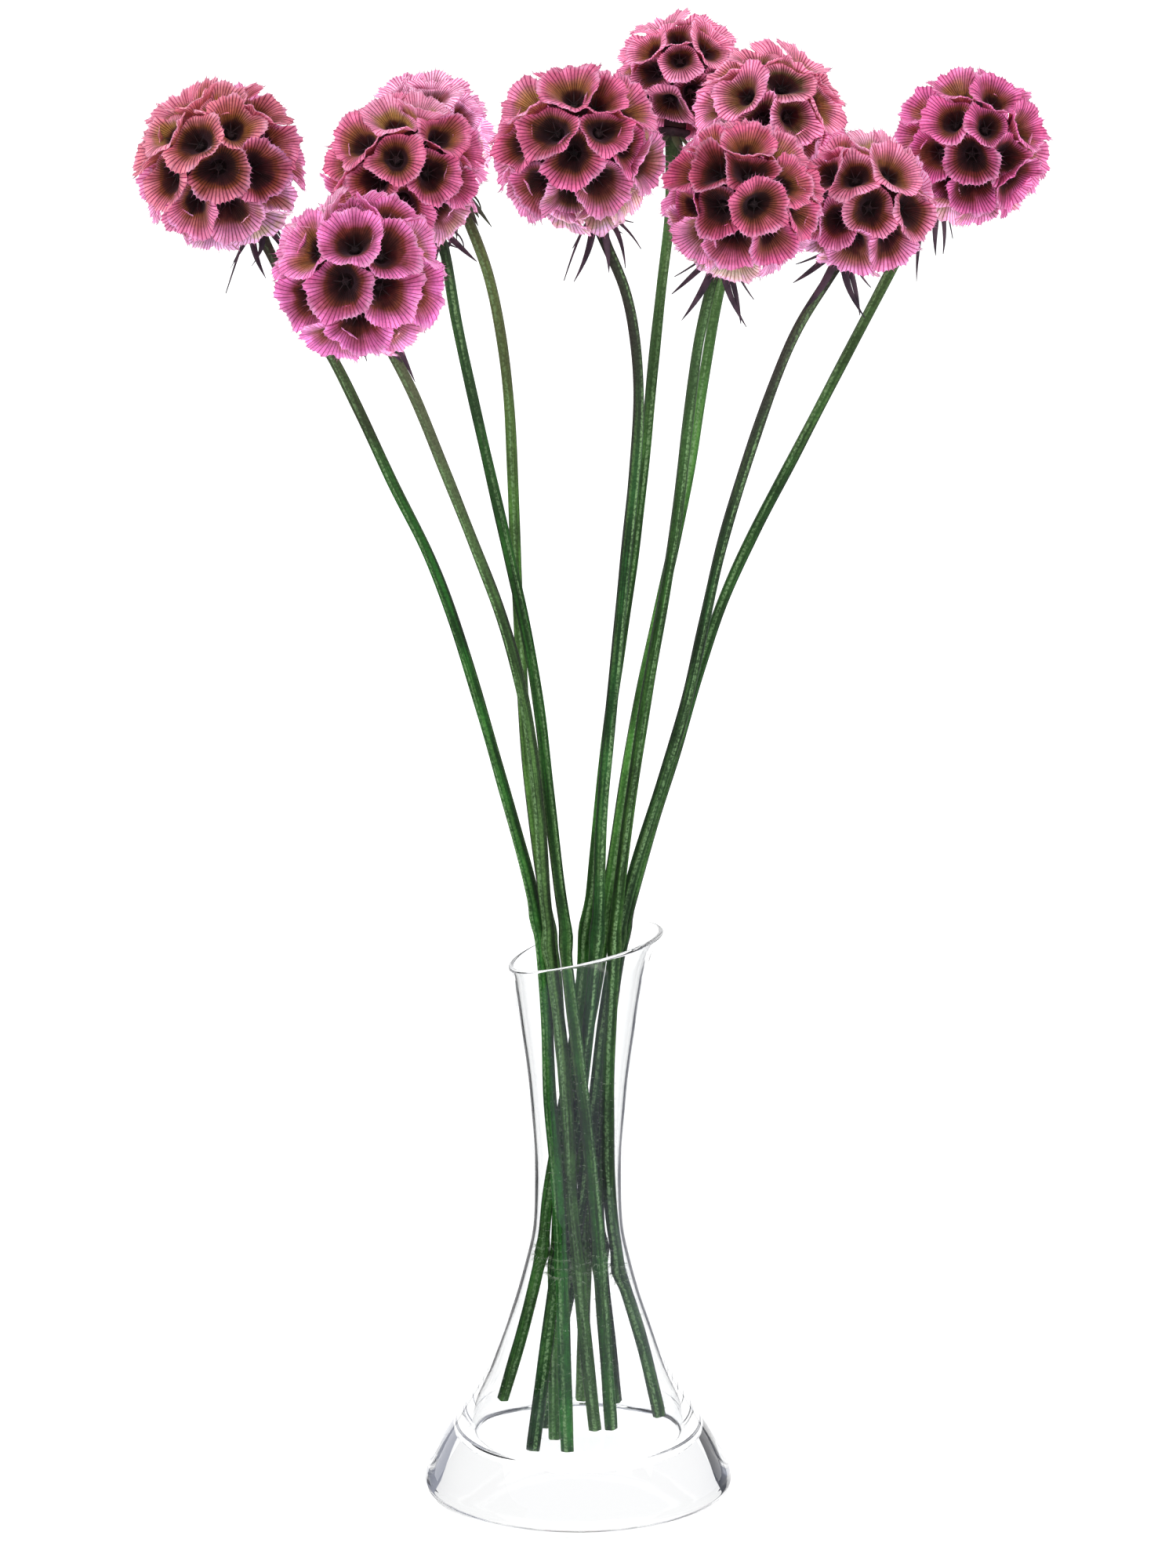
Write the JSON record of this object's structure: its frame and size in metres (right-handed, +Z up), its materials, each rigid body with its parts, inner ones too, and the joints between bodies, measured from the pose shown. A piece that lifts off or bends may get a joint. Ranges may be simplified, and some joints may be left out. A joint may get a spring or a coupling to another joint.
{
  "type": "scabiosa flowers in a glass vase",
  "caption": "Starflower scabiosa stems with round papery pink seed heads, standing in a clear glass bud vase with a slanted mouth.",
  "frame": {"origin": "centre of the vase's flat foot, on the surface it stands on", "axes": "+Z up along the vase's axis, +X towards the high side of its slanted mouth, -Y towards the viewer"},
  "size_m": [0.2522, 0.1549, 0.4194],
  "materials": {
    "vase_glass": "clear colourless pressed glass",
    "stem_green": "fine-ribbed green plant stem, slightly hairy",
    "cup_pink": "papery ribbed membrane, rose pink at the rim and dark inside"
  },
  "bodies": {
    "root": {"vase": "vase_glass", "stem_01": "stem_green", "stem_02": "stem_green", "stem_03": "stem_green", "stem_04": "stem_green", "stem_05": "stem_green", "stem_06": "stem_green", "stem_07": "stem_green", "stem_08": "stem_green", "stem_09": "stem_green", "stem_10": "stem_green", "head_01": "cup_pink", "head_02": "cup_pink", "head_03": "cup_pink", "head_04": "cup_pink", "head_05": "cup_pink", "head_06": "cup_pink", "head_07": "cup_pink", "head_08": "cup_pink", "head_09": "cup_pink", "head_10": "cup_pink"}
  },
  "joints": []
}
